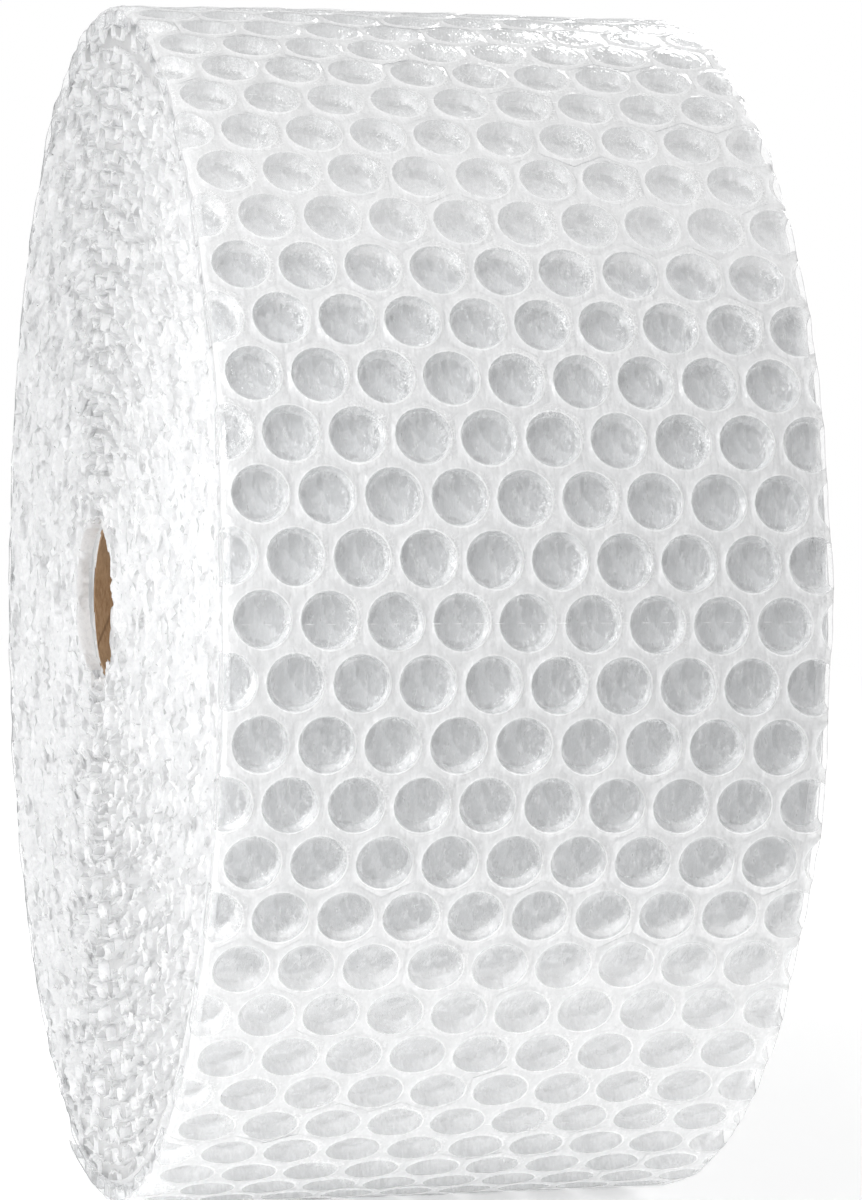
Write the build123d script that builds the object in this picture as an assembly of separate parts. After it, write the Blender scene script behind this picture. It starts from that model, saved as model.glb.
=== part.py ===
from build123d import *

import os
from math import cos, radians, sin, sqrt

# A roll of cushioning film with large air bubbles, wound on a cardboard tube, lying on its side.
#
# Row frame: millimetres, +Z up, the tube's axis along X. The origin is the centre of the small
# flat that the soft roll makes where it rests, so the floor is Z = 0.

# The web: a formed film and a flat film welded into one sheet, wound with its flat side out.
web_width = 305.0  # 12 in, along the roll's axis
turn_thickness = 11.0  # one turn as wound, its bubbles slightly flattened
roll_radius = 328.0  # tube axis to the outside of the web at its free end
shoulder_radius = 5.0  # the soft rims of the outer turn, rolled over at both ends
free_end_angle = 10.0  # round the axis, from straight down to the free end at the back
flat_width = 100.0  # the flat that the roll's own weight presses on its underside

# The tube, which takes the spindle of a dispenser.
tube_bore = 76.2  # 3 in
tube_wall = 4.0
tube_recess = 1.5  # how far each end of the tube sits inside the web's edge
winding_gap = 0.0  # the first turn is wound straight onto the tube

# Sizes that follow from those above.
tube_radius = tube_bore / 2 + tube_wall
tube_length = web_width - 2 * tube_recess
web_bore_radius = tube_radius + winding_gap
bottom_radius = roll_radius - turn_thickness * free_end_angle / 360
axis_height = sqrt(bottom_radius**2 - (flat_width / 2) ** 2)

# The outside is a spiral of four quarter turns. Each has its own centre, on a corner of a small
# square round the axis, and a radius one quarter of a turn's thickness less than the last.
quarters = 4
quarter_drop = turn_thickness / quarters
first_radius = roll_radius - quarter_drop / 2


def across(angle):
    """A unit vector across the axis: 0 is straight down, and 90 is towards the front, -Y."""
    return Vector(0, -sin(radians(angle)), -cos(radians(angle)))


def quarter_turn(number):
    """One quarter of the wound web, counted from the free end round under the roll."""
    start = 90 * number - free_end_angle
    radius = first_radius - number * quarter_drop
    centre = (across(start) - across(start + 90)) * (quarter_drop / 2)
    return start, radius, centre


def sector(number):
    """A quarter turn as a solid: its section, with both rims rounded, turned about its centre."""
    start, radius, centre = quarter_turn(number)
    section_plane = Plane(origin=centre, x_dir=(1, 0, 0), z_dir=across(start - 90))
    section = Rectangle(web_width, radius, align=(Align.CENTER, Align.MIN))
    rims = section.vertices().group_by(Axis.Y)[-1]
    section = section_plane * fillet(rims, shoulder_radius)
    return revolve(section, Axis(centre, (-1, 0, 0)), 90)


def build_web():
    """The whole web as wound: one solid, with its free end's step, its bore and its flat."""
    web = Part() + [sector(number) for number in range(quarters)]
    bore = Cylinder(web_bore_radius, web_width, rotation=(0, 90, 0))
    below = Box(
        web_width,
        2 * roll_radius,
        2 * roll_radius,
        align=(Align.CENTER, Align.CENTER, Align.MAX),
    )
    return web - bore - Pos(0, 0, -axis_height) * below


def build_tube():
    """The cardboard tube, cut square at both ends."""
    outside = Cylinder(tube_radius, tube_length, rotation=(0, 90, 0))
    inside = Cylinder(tube_bore / 2, tube_length, rotation=(0, 90, 0))
    return outside - inside


def save(shape, node):
    """Lifts a shape from the tube's axis to its height over the floor and writes it as a node."""
    export_step(Pos(0, 0, axis_height) * shape, f"parts/{node}.step")


os.makedirs("parts", exist_ok=True)
save(build_web(), "bubble_web")
save(build_tube(), "core_tube")
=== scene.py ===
from math import pi, radians, sin, cos, sqrt

import bmesh
import bpy
import numpy as np
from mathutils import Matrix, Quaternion, Vector, noise


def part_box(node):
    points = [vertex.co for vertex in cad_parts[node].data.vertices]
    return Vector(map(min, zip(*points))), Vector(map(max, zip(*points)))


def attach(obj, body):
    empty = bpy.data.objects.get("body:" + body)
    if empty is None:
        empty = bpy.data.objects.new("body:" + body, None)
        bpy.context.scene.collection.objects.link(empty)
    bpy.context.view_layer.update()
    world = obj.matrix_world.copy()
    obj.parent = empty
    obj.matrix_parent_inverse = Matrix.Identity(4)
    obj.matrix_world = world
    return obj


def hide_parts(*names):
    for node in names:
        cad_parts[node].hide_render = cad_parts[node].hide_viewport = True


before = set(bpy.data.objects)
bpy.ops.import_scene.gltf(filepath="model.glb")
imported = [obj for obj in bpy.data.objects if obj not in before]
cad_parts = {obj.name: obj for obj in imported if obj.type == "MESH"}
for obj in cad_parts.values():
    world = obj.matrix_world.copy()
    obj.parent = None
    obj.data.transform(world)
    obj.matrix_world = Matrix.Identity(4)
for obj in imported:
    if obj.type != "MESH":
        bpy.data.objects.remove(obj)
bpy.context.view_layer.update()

webLow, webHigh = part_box("bubble_web")
tubeLow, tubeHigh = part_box("core_tube")
axisHeight = (tubeLow.z + tubeHigh.z) / 2
halfWidth = webHigh.x + 0.0015  # the soft slit edges stand a little proud

# The web is wound as a spiral that starts at its free end, low at the back, and runs inwards.
winding = {
    "radius": 0.328,  # at the free end
    "turn": 0.011,  # thickness of one turn
    "freeEnd": radians(10),  # from straight down round to the free end
    "core": (tubeHigh.z - tubeLow.z) / 2,
}
spiralDrop = winding["turn"] / (2 * pi)
firstTurn = (winding["radius"] ** 2 - (winding["radius"] - winding["turn"]) ** 2) / (2 * spiralDrop)
webLength = (winding["radius"] ** 2 - winding["core"] ** 2) / (2 * spiralDrop)

# The bubbles stand in staggered rows across the web.
bubbles = {
    "pitch": 0.03292,  # across the web
    "rowStep": 0.03033,  # along it
    "firstRow": 0.0063,
    "shift": 0.01306,  # middle column of an odd row, from the web's middle
    "skew": -0.0178,  # the rows run a little off square
    "radius": 0.0146,
    "depth": 0.0102,
}


def spiralAt(along):
    radius = np.sqrt(winding["radius"] ** 2 - 2 * spiralDrop * along)
    return radius, (winding["radius"] - radius) / spiralDrop - winding["freeEnd"]


def alongAt(angle):
    # length of web from its free end to an angle on the spiral
    radius = winding["radius"] - spiralDrop * (angle + winding["freeEnd"])
    return (winding["radius"] ** 2 - radius ** 2) / (2 * spiralDrop)


def windUp(across, along, height, lowest=0.0):
    # takes points of the flat web to their place on the roll; the roll's weight flattens its underside
    radius, angle = spiralAt(along)
    radius = radius + height
    z = axisHeight - radius * np.cos(angle)
    return np.column_stack((across, -radius * np.sin(angle), np.maximum(z, lowest)))


def rowShift(row):
    return bubbles["shift"] + 0.5 * bubbles["pitch"] * ((row + 1) % 2)


def fromBubble(across, along):
    # distance to the nearest bubble's middle, over the bubble's radius
    row = (along - bubbles["firstRow"] - bubbles["skew"] * across) / bubbles["rowStep"]
    nearest = np.full(np.shape(across), 9.0)
    for near in (np.floor(row), np.floor(row) + 1):
        sideways = (across - rowShift(near)) / bubbles["pitch"]
        sideways = (sideways - np.round(sideways)) * bubbles["pitch"]
        nearest = np.minimum(nearest, np.hypot(sideways, (row - near) * bubbles["rowStep"]))
    return nearest / bubbles["radius"]


def bubbleDepth(share):
    # a bubble's depth at a share of its radius: steep sides and a top pressed nearly flat
    return bubbles["depth"] * np.sqrt(1 - np.clip(share, 0, 1) ** 10)


def ripple(points, scale, size, seed):
    # smooth noise at points; scale is its grain along each axis, in metres
    grain = np.array(points) / np.array(scale) + seed
    return size * np.array([noise.noise(Vector(spot)) for spot in grain.tolist()])


def wander(count, spacing, size, seed):
    # a random line that turns about every spacing steps
    knots = np.random.RandomState(seed).normal(0, size, int(count / spacing) + 4)
    place = np.arange(count) / spacing
    low = place.astype(int)
    ease = place - low
    ease = ease * ease * (3 - 2 * ease)
    return knots[low] * (1 - ease) + knots[low + 1] * ease


def gridFaces(rows, columns, closed=False, looped=False):
    # quads between neighbouring points of a grid; closed joins its last column to its first, looped its rows
    corner = np.arange(rows * columns).reshape(rows, columns)
    if closed:
        corner = np.hstack((corner, corner[:, :1]))
    if looped:
        corner = np.vstack((corner, corner[:1]))
    quads = np.stack((corner[:-1, :-1], corner[:-1, 1:], corner[1:, 1:], corner[1:, :-1]), -1)
    return quads.reshape(-1, 4).tolist()


def makePiece(name, points, faces, material, nodes, marks={}, second=None, picks=None):
    mesh = bpy.data.meshes.new(name)
    mesh.from_pydata(np.asarray(points).tolist(), [], faces)
    for mark, values in marks.items():
        values = np.asarray(values, np.float32)
        kind, field = ("FLOAT_VECTOR", "vector") if values.ndim == 2 else ("FLOAT", "value")
        mesh.attributes.new(mark, kind, "POINT").data.foreach_set(field, values.ravel())
    mesh.shade_smooth()
    mesh.materials.append(material)
    if second:
        mesh.materials.append(second)
        mesh.polygons.foreach_set("material_index", picks)
    piece = bpy.data.objects.new(name, mesh)
    bpy.context.scene.collection.objects.link(piece)
    if nodes:
        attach(piece, "root")
        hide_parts(*nodes)
    print(name, len(mesh.polygons), "faces")
    return piece



def newTree(name):
    material = bpy.data.materials.new(name)
    material.use_nodes = True
    material.node_tree.nodes.clear()
    return material, material.node_tree


def put(tree, kind, inputs={}, **settings):
    # adds one shader node; inputs are plain values or other nodes' outputs
    made = tree.nodes.new("ShaderNode" + kind)
    for key, value in settings.items():
        setattr(made, key, value)
    for key, value in inputs.items():
        if isinstance(value, bpy.types.NodeSocket):
            tree.links.new(value, made.inputs[key])
        else:
            made.inputs[key].default_value = value
    return made


def ramp(tree, value, low, high, outLow=0.0, outHigh=1.0, smooth=True):
    made = put(tree, "MapRange", {0: value, 1: low, 2: high, 3: outLow, 4: outHigh})
    made.interpolation_type = "SMOOTHSTEP" if smooth else "LINEAR"
    return made.outputs[0]


def grain(tree, place, scale, detail=3.0, rough=0.55):
    # noise whose grain is scale metres along each axis of the flat web
    mapped = put(tree, "VectorMath", {0: place, 1: [1 / step for step in scale]}, operation="MULTIPLY")
    made = put(tree, "TexNoise", {"Vector": mapped.outputs[0], "Scale": 1.0, "Detail": detail, "Roughness": rough})
    return made.outputs[0]


def blendColour(tree, share, first, second):
    made = put(tree, "Mix", {0: share}, data_type="RGBA")
    for socket, colour in ((made.inputs[6], first), (made.inputs[7], second)):
        if isinstance(colour, bpy.types.NodeSocket):
            tree.links.new(colour, socket)
        else:
            socket.default_value = (*colour, 1)
    return made.outputs[2]


def calc(tree, operation, first, second=0.0, third=0.0, clamp=False):
    made = put(tree, "Math", {0: first, 1: second, 2: third}, operation=operation, use_clamp=clamp)
    return made.outputs[0]


filmLook = {
    "milk": (0.93, 0.935, 0.94),
    "sealHaze": 0.66,  # where both films are welded
    "rimHighlight": 1.0,  # more at the bubble's rim: painted highlight crescents where the lamps' glints fall
    "squiggleHighlight": 0.8,  # and painted highlight along the fine wrinkles beside them
    "bubbleHaze": 0.08,
    "gloss": 0.11,
    "bend": 1.5,
    "mostShine": 0.3,  # the film is too wrinkled to mirror more than this at a grazing angle
    # painted shade: the dark grey of the slit edges stands in for the shadow in the gap under them
    "slitShade": (0.60, 0.605, 0.615),
}


def clearFilm(name, haze, bumpSize):
    # clear film: haze(tree, place, lumps) gives how milky it is; its gloss comes from the angle it is seen at;
    # painted highlights whiten its bubble rims and wrinkles, and a painted shade line darkens its slit edges
    material, tree = newTree(name)
    place = put(tree, "Attribute", attribute_name="onWeb").outputs["Vector"]
    lumps = grain(tree, place, (0.0035, 0.008, 0.01), 2.0, 0.6)
    bump = put(tree, "Bump", {"Height": lumps, "Strength": 0.5, "Distance": bumpSize}).outputs[0]
    across = calc(tree, "ABSOLUTE", put(tree, "SeparateXYZ", {0: place}).outputs[0])
    # painted shade: a darker, less clear line along the slit edges
    slit = ramp(tree, across, halfWidth - 0.0009, halfWidth - 0.0004)
    white = blendColour(tree, slit, filmLook["milk"], filmLook["slitShade"])
    milk = put(tree, "BsdfDiffuse", {"Color": white, "Normal": bump}).outputs[0]
    clear = put(tree, "BsdfTransparent", {"Color": (0.985, 0.988, 0.99, 1)}).outputs[0]
    # painted highlight: the rim attribute's crescents and the white wrinkle squiggles are added to the film's
    # milkiness
    rim = put(tree, "Attribute", attribute_name="rim").outputs["Fac"]
    paintedGlints = calc(tree, "MULTIPLY", rim, ramp(tree, lumps, 0.3, 0.6, 0.5 * filmLook["rimHighlight"], filmLook["rimHighlight"]))
    # painted highlight: white squiggles along the fine wrinkles, weighted by the attribute read below
    fine = calc(tree, "SUBTRACT", grain(tree, place, (0.0022, 0.0026, 0.002), 1.0), 0.5)
    squiggleGlints = ramp(tree, calc(tree, "ABSOLUTE", fine), 0.008, 0.045, filmLook["squiggleHighlight"], 0.0)
    wrinkleGlint = put(tree, "Attribute", attribute_name="wrinkleGlint").outputs["Fac"]
    paintedGlints = calc(tree, "MULTIPLY_ADD", squiggleGlints, wrinkleGlint, paintedGlints)
    milky = calc(tree, "ADD", haze(tree, place, lumps), paintedGlints)
    milky = calc(tree, "MULTIPLY_ADD", slit, 0.6, milky, clamp=True)
    body = put(tree, "MixShader", {0: milky, 1: clear, 2: milk}).outputs[0]
    gloss = put(tree, "BsdfGlossy", {"Color": (1, 1, 1, 1), "Roughness": filmLook["gloss"], "Normal": bump})
    shine = put(tree, "Fresnel", {"IOR": filmLook["bend"]}).outputs[0]
    shine = calc(tree, "MINIMUM", shine, filmLook["mostShine"])
    whole = put(tree, "MixShader", {0: shine, 1: body, 2: gloss.outputs[0]}).outputs[0]
    put(tree, "OutputMaterial", {"Surface": whole})
    return material


def flatFilmHaze(tree, place, lumps):
    seal = put(tree, "Attribute", attribute_name="seal").outputs["Fac"]
    base = ramp(tree, seal, 0.1, 0.9, filmLook["bubbleHaze"], filmLook["sealHaze"])
    return calc(tree, "ADD", base, ramp(tree, lumps, 0.45, 0.72, -0.03, 0.10))


def bubbleHaze(tree, place, lumps):
    streaks = ramp(tree, grain(tree, place, (0.0022, 0.008, 0.006), 1.0, 0.6), 0.5, 0.7, 0.02, 0.20)
    patches = ramp(tree, lumps, 0.46, 0.62, 0.0, 0.14)
    share = put(tree, "Attribute", attribute_name="share").outputs["Fac"]
    # painted reflection: a white ring on the dome's steep wall, where the film is seen edge-on
    wall = ramp(tree, share, 0.86, 0.98, 0.0, 0.35)
    return calc(tree, "ADD", calc(tree, "ADD", streaks, patches), wall)


def edgeFilm():
    # many cut edges one behind another: milky, with painted shade in the fine gaps between them and a little gloss
    material, tree = newTree("edge film")
    place = put(tree, "Attribute", attribute_name="onWeb").outputs["Vector"]
    lumps = grain(tree, place, (0.0016, 0.0026, 0.0016), 2.0, 0.6)
    bump = put(tree, "Bump", {"Height": lumps, "Strength": 0.35, "Distance": 0.0008}).outputs[0]
    colour = blendColour(tree, ramp(tree, lumps, 0.3, 0.55), (0.88, 0.885, 0.893), (0.95, 0.953, 0.957))
    # painted shade: dark specks where the gaps between the cut edges lie in shade
    colour = blendColour(tree, ramp(tree, lumps, 0.70, 0.76, 0.0, 0.7), colour, (0.55, 0.555, 0.565))
    front = put(tree, "BsdfDiffuse", {"Color": colour, "Normal": bump}).outputs[0]
    back = put(tree, "BsdfTranslucent", {"Color": colour}).outputs[0]
    milk = put(tree, "MixShader", {0: 0.35, 1: front, 2: back}).outputs[0]
    gloss = put(tree, "BsdfGlossy", {"Color": (1, 1, 1, 1), "Roughness": 0.25, "Normal": bump}).outputs[0]
    shine = put(tree, "Fresnel", {"IOR": 1.4}).outputs[0]
    shine = calc(tree, "MINIMUM", shine, filmLook["mostShine"])
    put(tree, "OutputMaterial", {"Surface": put(tree, "MixShader", {0: shine, 1: milk, 2: gloss}).outputs[0]})
    return material


innerLook = {
    # painted shade: the roll's depth seen through each bubble, darker than the milky seals
    "underBubbleShade": (0.64, 0.645, 0.652),
    "overSeal": (0.79, 0.795, 0.802),
    "shift": (0.013, 0.005),  # how this turn's bubbles lie under the outer turn's, at the front
}
turnBelow = alongAt(pi / 2 + 2 * pi) - alongAt(pi / 2)  # length of the one turn between them


def innerWeb():
    # the turns under the outer one, seen through it: seals pale, bubbles greyer with painted shade of the roll's
    # depth, streaked along the winding
    material, tree = newTree("inner web")
    place = put(tree, "Attribute", attribute_name="onWeb").outputs["Vector"]
    parts = put(tree, "SeparateXYZ", {0: place})
    across = calc(tree, "SUBTRACT", parts.outputs[0], bubbles["shift"] + innerLook["shift"][0])
    along = calc(tree, "SUBTRACT", parts.outputs[1], bubbles["firstRow"] + bubbles["rowStep"] + turnBelow + innerLook["shift"][1])
    along = calc(tree, "SUBTRACT", along, calc(tree, "MULTIPLY", across, bubbles["skew"]))
    cell = put(tree, "CombineXYZ", {0: calc(tree, "DIVIDE", across, bubbles["pitch"]),
                                    1: calc(tree, "DIVIDE", along, 2 * bubbles["rowStep"])}).outputs[0]
    reach = []
    for middle in ((0.5, 0.5, 0), (0, 0, 0)):
        moved = put(tree, "VectorMath", {0: cell, 1: middle}, operation="ADD").outputs[0]
        part = put(tree, "VectorMath", {0: moved}, operation="FRACTION").outputs[0]
        centred = put(tree, "VectorMath", {0: part, 1: (0.5, 0.5, 0)}, operation="SUBTRACT").outputs[0]
        sized = put(tree, "VectorMath", {0: centred, 1: (bubbles["pitch"], 2 * bubbles["rowStep"], 0)},
                    operation="MULTIPLY").outputs[0]
        reach.append(put(tree, "VectorMath", {0: sized}, operation="LENGTH").outputs[1])
    near = calc(tree, "MINIMUM", reach[0], reach[1])
    streaks = grain(tree, place, (0.0025, 0.009, 0.01), 3.0, 0.6)
    near = calc(tree, "ADD", near, ramp(tree, streaks, 0.3, 0.7, -0.0015, 0.0015, False))
    seal = ramp(tree, near, 0.0132, 0.0148)
    rim = calc(tree, "MULTIPLY", ramp(tree, near, 0.0132, 0.0144), ramp(tree, near, 0.0144, 0.0156, 1.0, 0.0))
    # painted shade under the bubbles, pale over the seals
    tone = blendColour(tree, seal, innerLook["underBubbleShade"], innerLook["overSeal"])
    tone = blendColour(tree, calc(tree, "MULTIPLY", rim, 0.3), tone, filmLook["milk"])
    colour = blendColour(tree, ramp(tree, streaks, 0.5, 0.68, 0.0, 0.3), tone, (0.86, 0.865, 0.87))
    put(tree, "OutputMaterial", {"Surface": put(tree, "BsdfDiffuse", {"Color": colour}).outputs[0]})
    return material


def cardboard():
    # brown board wound on a slant, with fibres and the joints between its plies
    material, tree = newTree("core board")
    place = put(tree, "Attribute", attribute_name="onTube").outputs["Vector"]
    fibre = grain(tree, place, (0.0012, 0.006, 0.002), 5.0, 0.65)
    cloud = grain(tree, place, (0.02, 0.03, 0.01), 3.0)
    parts = put(tree, "SeparateXYZ", {0: place})
    slant = calc(tree, "DIVIDE", calc(tree, "ADD", parts.outputs[0], calc(tree, "MULTIPLY", parts.outputs[1], 0.42)), 0.105)
    joint = calc(tree, "ABSOLUTE", calc(tree, "SUBTRACT", calc(tree, "FRACT", slant), 0.5))
    line = ramp(tree, joint, 0.0, 0.012, 1.0, 0.0)
    brown = blendColour(tree, ramp(tree, fibre, 0.3, 0.7), (0.24, 0.135, 0.065), (0.40, 0.255, 0.14))
    brown = blendColour(tree, ramp(tree, cloud, 0.35, 0.7, 0.0, 0.4), brown, (0.46, 0.31, 0.185))
    brown = blendColour(tree, calc(tree, "MULTIPLY", line, 0.6), brown, (0.13, 0.07, 0.035))
    bump = put(tree, "Bump", {"Height": fibre, "Strength": 0.5, "Distance": 0.0006}).outputs[0]
    shader = put(tree, "BsdfPrincipled", {"Base Color": brown, "Roughness": 0.85, "Normal": bump})
    put(tree, "OutputMaterial", {"Surface": shader.outputs[0]})
    return material


print("materials")
flatFilm = clearFilm("flat film", flatFilmHaze, 0.0014)
bubbleFilm = clearFilm("bubble film", bubbleHaze, 0.0030)
edges = edgeFilm()
inner = innerWeb()
board = cardboard()



tile = {
    "around": 24,  # points round each bubble
    "flatRings": (1.05, 1.0, 0.95, 0.74, 0.42),  # shares of the bubble's radius, then its middle
    "domeRings": (1.0, 0.985, 0.95, 0.88, 0.7, 0.4),
    "crown": 0.0009,  # how far the flat film stands out over a bubble
    "shoulder": 0.004,  # the rolled rims
    "underlap": 0.05,  # how far the first turn runs on under the free end
}


def bubbleMiddles(lastAlong):
    middles = []
    for row in range(-1, int(lastAlong / bubbles["rowStep"]) + 2):
        for column in range(-6, 7):
            across = rowShift(row) + column * bubbles["pitch"]
            if abs(across) < halfWidth + 0.6 * bubbles["pitch"]:
                middles.append((across, bubbles["firstRow"] + row * bubbles["rowStep"] + bubbles["skew"] * across))
    return np.array(middles)


def cellEdge():
    # points round the six-sided patch of web that belongs to one bubble, the same number on each side
    half, row = bubbles["pitch"] / 2, bubbles["rowStep"]
    tall = row / 2 + half * half / (2 * row)
    short = row / 2 - half * half / (2 * row)
    corners = [(0, tall), (half, short), (half, -short), (0, -tall), (-half, -short), (-half, short)]
    perSide = tile["around"] // 6
    points = []
    for number, corner in enumerate(corners):
        following = corners[(number + 1) % 6]
        for step in range(perSide):
            share = step / perSide
            points.append([a + (b - a) * share for a, b in zip(corner, following)])
    return np.array(points)


def tiled(middles, rings):
    # one patch repeated over every bubble: rings is a list of point loops, each with the same count
    around = tile["around"]
    loops = np.array(rings)
    patch = np.vstack((loops.reshape(-1, 2), [[0, 0]]))
    patchFaces = gridFaces(len(rings), around, closed=True)
    last = (len(rings) - 1) * around
    hub = len(rings) * around
    patchFaces += [[last + n, last + (n + 1) % around, hub] for n in range(around)]
    points = (middles[:, None, :] + patch[None, :, :])
    points[:, :, 1] += bubbles["skew"] * patch[None, :, 0]
    faces = []
    for number in range(len(middles)):
        start = number * len(patch)
        faces += [[start + corner for corner in face] for face in patchFaces]
    return points.reshape(-1, 2), faces, len(patch)


def cutToWeb(name, points, faces, marks, lastAlong):
    # joins the patches and slits the sheet at the web's two edges and at its ends
    mesh = bpy.data.meshes.new(name)
    mesh.from_pydata(points.tolist(), [], faces)
    for mark, values in marks.items():
        mesh.attributes.new(mark, "FLOAT", "POINT").data.foreach_set("value", np.asarray(values, np.float32))
    sheet = bmesh.new()
    sheet.from_mesh(mesh)
    bmesh.ops.remove_doubles(sheet, verts=sheet.verts, dist=2e-5)
    for spot, way in (((halfWidth, 0, 0), (1, 0, 0)), ((-halfWidth, 0, 0), (-1, 0, 0)),
                      ((0, 0, 0), (0, -1, 0)), ((0, lastAlong, 0), (0, 1, 0))):
        parts = sheet.verts[:] + sheet.edges[:] + sheet.faces[:]
        bmesh.ops.bisect_plane(sheet, geom=parts, plane_co=spot, plane_no=way, clear_outer=True, dist=1e-6)
    sheet.to_mesh(mesh)
    sheet.free()
    flat = np.zeros(len(mesh.vertices) * 3, np.float32)
    mesh.vertices.foreach_get("co", flat)
    kept = {}
    for mark in marks:
        kept[mark] = np.zeros(len(mesh.vertices), np.float32)
        mesh.attributes[mark].data.foreach_get("value", kept[mark])
    cutFaces = [list(face.vertices) for face in mesh.polygons]
    bpy.data.meshes.remove(mesh)
    return flat.reshape(-1, 3).astype(float), cutFaces, kept


def shoulderDrop(across):
    # how far the web is rolled down near its two edges
    radius = tile["shoulder"]
    near = np.clip(radius - (halfWidth - np.abs(across)), 0, radius * 0.985)
    return radius - np.sqrt(radius ** 2 - near ** 2)


def sheetWave(flat):
    # the soft, slightly uneven lie of the outer turn
    broad = ripple(flat, (0.09, 0.12, 1), 0.0011, 3.1)
    fine = ripple(flat, (0.007, 0.03, 1), 0.00035, 8.7)
    loose = 1 + 2 * np.clip((np.abs(flat[:, 0]) - halfWidth + 0.02) / 0.02, 0, 1)
    return broad + fine * loose


def edgeSway(flat):
    # the slit edges run a little in and out
    side = np.column_stack((np.sign(flat[:, 0]), flat[:, 1], np.zeros(len(flat))))
    sway = ripple(side, (1.3, 0.016, 1), 0.0010, 6.6) + ripple(side, (1.3, 0.07, 1), 0.0014, 2.9)
    return flat[:, 0] + sway * (np.abs(flat[:, 0]) / halfWidth) ** 8


def rimHighlights(count, edge, strengths, seed):
    # painted highlight crescents on the rim of each bubble: most at one corner and less at a second, over a faint
    # milky ring all round
    draw = np.random.RandomState(seed)
    angle = np.arctan2(edge[:, 1], edge[:, 0])[None, :] + draw.normal(0, 0.25, (count, 1))
    low = np.clip((np.cos(angle + 0.85) - 0.62) / 0.38, 0, 1) * draw.uniform(0.35, 1.1, (count, 1))
    high = np.clip((np.cos(angle - 0.5) - 0.7) / 0.3, 0, 1) * draw.uniform(-0.3, 0.7, (count, 1)).clip(0, 1)
    loops = np.maximum(low, high) + 0.12
    marks = np.concatenate([loops * strength for strength in strengths] + [np.zeros((count, 1))], axis=1)
    return marks.ravel()


def wrinkleGlints(middles, edge, strengths, seed):
    # painted highlight on the fine wrinkles round each bubble: on one side of it, and most at the top and bottom of
    # the roll
    draw = np.random.RandomState(seed)
    angle = np.arctan2(edge[:, 1], edge[:, 0])[None, :] + draw.normal(0, 0.4, (len(middles), 1))
    loops = 0.12 + np.clip(np.cos(angle - 0.25), 0, 1) * draw.uniform(0, 1.1, (len(middles), 1)) ** 1.5
    upright = np.cos(spiralAt(middles[:, 1].clip(0))[1]) ** 2
    loops = loops * (0.55 + 0.9 * upright)[:, None]
    marks = np.concatenate([loops * strength for strength in strengths] + [0.1 * upright[:, None]], axis=1)
    return marks.ravel()


def outerFilm():
    middles = bubbleMiddles(firstTurn + tile["underlap"])
    edge = cellEdge()
    directions = edge / np.linalg.norm(edge, axis=1)[:, None]
    rings = [edge] + [directions * share * bubbles["radius"] for share in tile["flatRings"]]
    points, faces, size = tiled(middles, rings)
    around = tile["around"]
    seals = np.concatenate([np.full(around, value) for value in (1, 1, 1, 0.2, 0, 0)] + [[0]])
    crown = tile["crown"]
    rise = [-0.0004, -0.0003, 0.0002] + [crown * (1 - share ** 2) for share in tile["flatRings"][2:]]
    heights = np.concatenate([np.full(around, value) for value in rise] + [[crown]])
    draw = np.random.RandomState(11)
    fullness = np.repeat(draw.uniform(0.55, 1.25, len(middles)), size)
    flat = np.column_stack((points, np.tile(heights, len(middles)) * fullness))
    # painted highlight crescents on the bubble rims
    rims = rimHighlights(len(middles), edge, (0, 0.1, 1, 0.1, 0, 0), 31)
    # painted highlight on the wrinkles round each bubble
    wrinkleGlintMarks = wrinkleGlints(middles, edge, (0.2, 0.6, 0.9, 0.8, 0.5, 0.15), 41)
    seals = np.tile(seals, len(middles))
    flat, faces, marks = cutToWeb("cut", flat, faces, {"seal": seals, "rim": rims, "wrinkleGlint": wrinkleGlintMarks},
                                  firstTurn + tile["underlap"])
    height = flat[:, 2] + sheetWave(flat) - shoulderDrop(flat[:, 0])
    under = np.clip((flat[:, 1] - firstTurn) / 0.01, 0, 1)
    height = height * (1 - under) + 0.0004 * under
    points = windUp(edgeSway(flat), flat[:, 1], height, 0.0002)
    return makePiece("outer_flat_film", points, faces, flatFilm, ["bubble_web"],
                     {**marks, "onWeb": flat})


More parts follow.
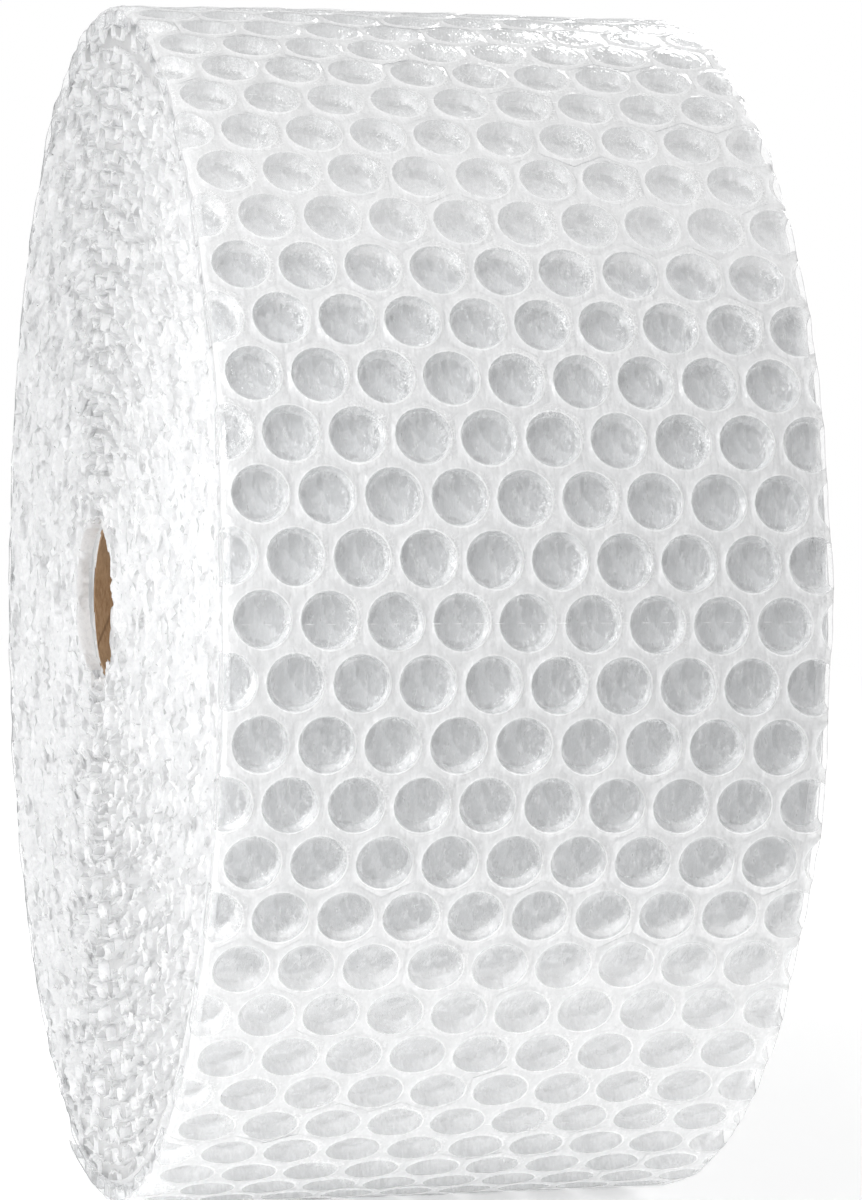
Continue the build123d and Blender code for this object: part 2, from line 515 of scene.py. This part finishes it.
def outerBubbles():
    middles = bubbleMiddles(firstTurn)
    middles = middles[middles[:, 1] < firstTurn - 0.4 * bubbles["rowStep"]]
    edge = cellEdge()
    directions = edge / np.linalg.norm(edge, axis=1)[:, None]
    shares = np.array(tile["domeRings"])
    points, faces, size = tiled(middles, [directions * share * bubbles["radius"] for share in shares])
    share = np.tile(np.concatenate([np.repeat(shares, tile["around"]), [0]]), len(middles))
    draw = np.random.RandomState(23)
    fullness = np.repeat(draw.uniform(0.9, 1.0, len(middles)), size)
    lean = np.repeat(draw.normal(0, 0.0008, (len(middles), 2)), size, axis=0)
    depth = bubbleDepth(share) * fullness
    flat = np.column_stack((points + lean * (depth / bubbles["depth"])[:, None], -depth))
    dents = ripple(flat, (0.006, 0.009, 0.02), 0.0012, 5.3) * np.clip(1 - share ** 2, 0, 1)
    flat[:, 2] += dents
    # painted highlight crescents on the bubble rims
    rims = rimHighlights(len(middles), edge, (0.2, 0.6, 1, 0.1, 0, 0), 31)
    # painted highlight on the wrinkles round each bubble
    wrinkleGlintMarks = wrinkleGlints(middles, edge, (0.6, 0.8, 1.0, 0.9, 0.5, 0.2), 43)
    flat, faces, marks = cutToWeb("cut", flat, faces, {"share": share, "rim": rims, "wrinkleGlint": wrinkleGlintMarks}, firstTurn)
    deepest = 0.0006 - winding["turn"]
    height = np.maximum(flat[:, 2] + sheetWave(flat) - shoulderDrop(flat[:, 0]) - 0.0003, deepest)
    points = windUp(edgeSway(flat), flat[:, 1], height, 0.0006)
    return makePiece("outer_bubbles", points, faces, bubbleFilm, ["bubble_web"],
                     {**marks, "onWeb": flat})


perforation = {
    "every": 0.3064,  # along the web, counted from the free end
    "step": 0.0105,  # from one slit to the next, across the web
    "long": 0.0046,
    "wide": 0.0002,
    "lip": 0.0001,  # how far the slit's lips stand up
}


def perforations():
    # rows of slits right across the web, where it tears off
    points, faces = [], []
    lines = int(firstTurn / perforation["every"])
    slits = int(2 * halfWidth / perforation["step"]) - 1
    for line in range(1, lines + 1):
        for slit in range(slits):
            middle = -halfWidth + (slit + 1) * perforation["step"]
            base = len(points)
            for lengthwise in (-0.5, -0.25, 0.0, 0.25, 0.5):
                spread = perforation["wide"] * sqrt(1 - (1.9 * lengthwise) ** 2)
                for side in (-1, 0, 1):
                    points.append((middle + lengthwise * perforation["long"],
                                   line * perforation["every"] + side * spread,
                                   0.0004 + perforation["lip"] * (1 - abs(side))))
            faces += [[base + corner for corner in face] for face in gridFaces(5, 3)]
    flat = np.array(points)
    height = flat[:, 2] + sheetWave(flat) - shoulderDrop(flat[:, 0])
    height += tile["crown"] * np.clip(1 - fromBubble(flat[:, 0], flat[:, 1]) ** 2, 0, 1)
    return makePiece("perforations", windUp(flat[:, 0], flat[:, 1], height, 0.0003), faces, edges,
                     ["bubble_web"], {"onWeb": flat})


print("outer turn")
outerFilm()
outerBubbles()
perforations()



core = {
    "inset": 0.006,  # how deep the open cells at each end are modelled
    "rimInset": 0.0022,  # and how deep at the outer turn
    "creep": 0.003,  # how far the innermost turns stand out at each end
    "collar": 0.004,  # and how much further behind the tube, where the first turns bunch up
    "across": 76,
    "around": 520,
    "rings": 16,
    "crown": 0.0012,
}


def creepAt(along):
    # the turns work outwards a little towards the tube, so each end is slightly domed
    radius, angle = spiralAt(along)
    share = (winding["radius"] - radius) / (winding["radius"] - winding["core"])
    return core["creep"] * share + core["collar"] * share ** 10 * np.clip(-np.sin(angle + 0.15), 0, 1)


def innerTurns():
    # the closed body of the roll: the next turn's film outside, close-packed turns at both ends, the tube's hole
    half = halfWidth - core["rimInset"]
    count = core["around"]
    outer, inside = winding["radius"] - winding["turn"], winding["radius"] - 2 * winding["turn"]
    along = firstTurn + np.arange(count) / count * (outer ** 2 - inside ** 2) / (2 * spiralDrop)
    rim, angle = spiralAt(along)
    points, marks, rows = [], [], []
    reach = np.linspace(0, 1, core["rings"])
    deeper = core["inset"] - core["rimInset"]
    for share in reach[:-1]:
        rows.append((-1, -half - core["creep"] * (1 - share) + deeper * (1 - share ** 6), share))
    for across in np.linspace(-half, half, core["across"]):
        rows.append((0, across, 1.0))
    for share in reach[:-1][::-1]:
        rows.append((1, half + core["creep"] * (1 - share) - deeper * (1 - share ** 6), share))
    for end, across, share in rows:
        wide = np.full(count, across)
        flat = np.column_stack((wide, along, np.full(count, 0.0)))
        if end:
            height = (winding["core"] - rim) * (1 - share) - 0.0012
            spot = windUp(wide, along, height, 0.0016)
            flat = spot
            spot = spot + np.outer(ripple(spot, (1, 0.008, 0.008), 0.0016, 4.4), (end, 0, 0))
        else:
            moved = fromBubble(wide - innerLook["shift"][0], along - turnBelow - innerLook["shift"][1])
            height = core["crown"] * np.clip(1 - moved ** 2, 0, 1) - 0.0012
            spot = windUp(wide, along, height + ripple(flat, (0.006, 0.02, 1), 0.0006, 1.7), 0.0012)
        points.append(spot)
        marks.append(flat)
    faces = gridFaces(len(rows), count, closed=True, looped=True)
    row = np.repeat(np.arange(len(rows)), count)
    picks = ((row < core["rings"] - 1) | (row >= core["rings"] - 2 + core["across"])).astype(int)
    return makePiece("inner_turns", np.vstack(points), faces, inner, ["bubble_web"],
                     {"onWeb": np.vstack(marks)}, edges, picks)


ends = {
    "step": 0.0015,  # along the web
    "flatInsets": (0.0, 0.002, 0.006),
    "bubbleInsets": (0.0, 0.0014, 0.0035, 0.007),
    "flutter": 0.0006,
    "overhang": 0.0008,
}


def endEdges(name, side, seed):
    # both films' slit edges, turn after turn, with the cells that the slitting opened
    count = int((webLength - firstTurn) / ends["step"])
    along = firstTurn + np.arange(count) * ends["step"]
    points, marks, faces = [], [], []
    start = 0
    drift = wander(count, 50, 0.0010, seed) + wander(count, 10, 0.0006, seed + 1)
    calm = np.clip((along - firstTurn) / firstTurn, 0.15, 1) * np.clip((webLength - along) / 0.7, 0.2, 1)
    for film, insets in enumerate((ends["flatInsets"], ends["bubbleInsets"])):
        ragged = wander(count, 2, ends["overhang"], seed + 2 + film)
        ragged = (ragged + wander(count, 14, ends["overhang"], seed + 4 + film)) * calm
        for number, inset in enumerate(insets):
            slack = 1 - inset / insets[-1]
            loose = wander(count, 2, ends["flutter"], seed + 10 * film + number + 20)
            loose += wander(count, 7, ends["flutter"], seed + 10 * film + number + 60)
            across = side * (halfWidth + creepAt(along) - inset + np.clip(ragged, -0.002, 0.0025) * slack)
            height = drift + loose * (0.35 + 0.65 * slack) * (1.5 if film else 0.6)
            if film:
                height = height - bubbleDepth(fromBubble(across, along)) * (0.95 - 0.25 * slack)
            rim = np.clip((firstTurn * 1.6 - along) / (0.6 * firstTurn), 0, 1)
            height = np.clip(height, -0.0098, 0.0012 - 0.004 * rim * slack)
            height = np.maximum(height, winding["core"] + 0.0004 - spiralAt(along)[0])
            flat = np.column_stack((across, along, height))
            points.append(windUp(across, along, height, 0.0016))
            marks.append(flat)
        rows = len(insets)
        faces += [[start + corner for corner in face] for face in gridFaces(rows, count)]
        start += rows * count
    return makePiece(name, np.vstack(points), faces, edges, ["bubble_web"],
                     {"onWeb": np.vstack(marks)})


print("inner turns")
innerTurns()
endEdges("left_end_edges", -1, 100)
endEdges("right_end_edges", 1, 300)



tube = {
    "wall": 0.004,
    "around": 128,
    "along": 60,
    "slant": 0.42,  # of the plies' joints, along the tube for each metre round it
    "ply": 0.105,  # width of a ply along the tube
}


def coreTube():
    outer = winding["core"]
    bore = outer - tube["wall"]
    turn = np.arange(tube["around"]) * 2 * pi / tube["around"]
    points, marks = [], []
    stations = []
    lengthwise = np.linspace(tubeLow.x, tubeHigh.x, tube["along"])
    for x in lengthwise:
        stations.append((x, bore, 0.0))
    for share in (0.0, 0.04, 0.33, 0.37, 0.63, 0.67, 0.96, 1.0):
        stations.append((tubeHigh.x, bore + share * tube["wall"], 1.0))
    for x in lengthwise[::-1]:
        stations.append((x, outer, 0.0))
    for share in (1.0, 0.96, 0.67, 0.63, 0.37, 0.33, 0.04, 0.0):
        stations.append((tubeLow.x, bore + share * tube["wall"], -1.0))
    for number, (x, radius, cutEnd) in enumerate(stations):
        round_ = turn * outer
        spot = np.column_stack((np.full_like(turn, x), round_, np.full_like(turn, radius)))
        slant = (x + round_ * tube["slant"]) / tube["ply"]
        near = np.abs(slant - np.floor(slant) - 0.5)
        groove = -0.00035 * np.clip(1 - near / 0.02, 0, 1)
        inwards = 1 if radius > bore + 1e-5 else -1
        fuzz = ripple(spot, (0.003, 0.004, 0.0008), 0.0003, 2.2) * abs(cutEnd)
        depth = radius + inwards * groove * (1 - abs(cutEnd))
        points.append(np.column_stack((x - cutEnd * (0.0002 + np.abs(fuzz)), -depth * np.sin(turn),
                                       axisHeight - depth * np.cos(turn))))
        marks.append(spot)
    faces = gridFaces(len(stations), tube["around"], closed=True)
    return makePiece("spiral_tube", np.vstack(points), faces, board, ["core_tube"],
                     {"onTube": np.vstack(marks)})


print("tube")
coreTube()



def paleFloor():
    material, tree = newTree("pale floor")
    place = put(tree, "NewGeometry").outputs["Position"]
    away = put(tree, "VectorMath", {0: place}, operation="LENGTH").outputs[1]
    fade = ramp(tree, away, 0.75, 1.7)
    plain = put(tree, "BsdfDiffuse", {"Color": (0.94, 0.94, 0.94, 1)}).outputs[0]
    white = put(tree, "Emission", {"Color": (1, 1, 1, 1), "Strength": 1.0}).outputs[0]
    path = put(tree, "LightPath")
    seen = calc(tree, "MAXIMUM", path.outputs["Is Camera Ray"], path.outputs["Is Glossy Ray"])
    seen = calc(tree, "MAXIMUM", seen, path.outputs["Is Transmission Ray"])
    share = calc(tree, "MULTIPLY", fade, seen)
    lift = put(tree, "Emission", {"Color": (1, 1, 1, 1), "Strength": calc(tree, "MULTIPLY", seen, 0.36)}).outputs[0]
    plain = put(tree, "AddShader", {0: plain, 1: lift}).outputs[0]
    put(tree, "OutputMaterial", {"Surface": put(tree, "MixShader", {0: share, 1: plain, 2: white}).outputs[0]})
    points, faces = [], []
    count = 96
    for radius in (0.0, 1.0, 9.0):
        for number in range(count):
            turn = 2 * pi * number / count
            points.append((radius * cos(turn), radius * sin(turn), -0.0002))
    faces = gridFaces(3, count, closed=True)
    makePiece("floor", points, faces, material, None)


light = {
    "world": 0.40,
    "key": {"from": (-0.8, -0.95, 0.6), "size": (0.5, 0.5), "power": 3.2},  # near on the left
    "strip": {"from": (-1.3, -1.1, 1.2), "size": (2.0, 0.35), "power": 13.6, "turned": radians(45)},
    "top": {"from": (-0.3, -0.5, 2.3), "size": (1.2, 1.2), "power": 6, "mirrored": False},
    "table": {"from": (0.0, 0.0, 0.0), "size": (1.4, 1.4), "power": 2.3, "mirrored": False},  # a lit table top
    "back": {"from": (1.3, 1.9, 1.3), "size": (1.1, 1.1), "power": 20},
}


def softLight():
    world = bpy.data.worlds.new("studio")
    bpy.context.scene.world = world
    world.use_nodes = True
    tree = world.node_tree
    tree.nodes.clear()
    path = put(tree, "LightPath")
    seen = calc(tree, "MAXIMUM", path.outputs["Is Camera Ray"], path.outputs["Is Glossy Ray"])
    seen = calc(tree, "MAXIMUM", seen, path.outputs["Is Transmission Ray"])
    lit = put(tree, "Background", {"Color": (1, 1, 1, 1), "Strength": light["world"]}).outputs[0]
    shown = put(tree, "Background", {"Color": (1, 1, 1, 1), "Strength": 1.0}).outputs[0]
    put(tree, "OutputWorld", {"Surface": put(tree, "MixShader", {0: seen, 1: lit, 2: shown}).outputs[0]})
    middle = Vector((0, 0, axisHeight))
    for name in ("key", "strip", "top", "table", "back"):
        lamp = bpy.data.lights.new(name, "AREA")
        lamp.shape = "RECTANGLE"
        lamp.size, lamp.size_y = light[name]["size"]
        lamp.energy = light[name]["power"]
        holder = bpy.data.objects.new(name, lamp)
        holder.location = light[name]["from"]
        towards = (middle - holder.location).to_track_quat("-Z", "Y")
        holder.rotation_euler = (towards @ Quaternion((0, 0, 1), light[name].get("turned", 0))).to_euler()
        holder.visible_camera = False
        holder.visible_glossy = light[name].get("mirrored", True)
        bpy.context.scene.collection.objects.link(holder)


view = {
    "azimuth": radians(-13.85),
    "elevation": radians(9.40),
    "roll": radians(2.20),
    "distance": 2.586,
    "aim": (0.0311, 0.0, -0.0004),  # from the tube's middle
    "lens": 140.25,
}


def setCamera():
    middle = Vector((0, 0, axisHeight))
    back = Vector((sin(view["azimuth"]) * cos(view["elevation"]), -cos(view["azimuth"]) * cos(view["elevation"]),
                   sin(view["elevation"])))
    camera = bpy.data.cameras.new("camera")
    camera.lens = view["lens"]
    camera.sensor_width = 36
    camera.sensor_fit = "AUTO"
    camera.clip_end = 50
    holder = bpy.data.objects.new("camera", camera)
    holder.location = middle + back * view["distance"]
    aim = middle + Vector(view["aim"])
    turned = (aim - holder.location).to_track_quat("-Z", "Y") @ Quaternion((0, 0, 1), view["roll"])
    holder.rotation_mode = "QUATERNION"
    holder.rotation_quaternion = turned
    bpy.context.scene.collection.objects.link(holder)
    bpy.context.scene.camera = holder


print("floor, light and camera")
paleFloor()
softLight()
setCamera()
bpy.context.scene.view_settings.view_transform = "Standard"
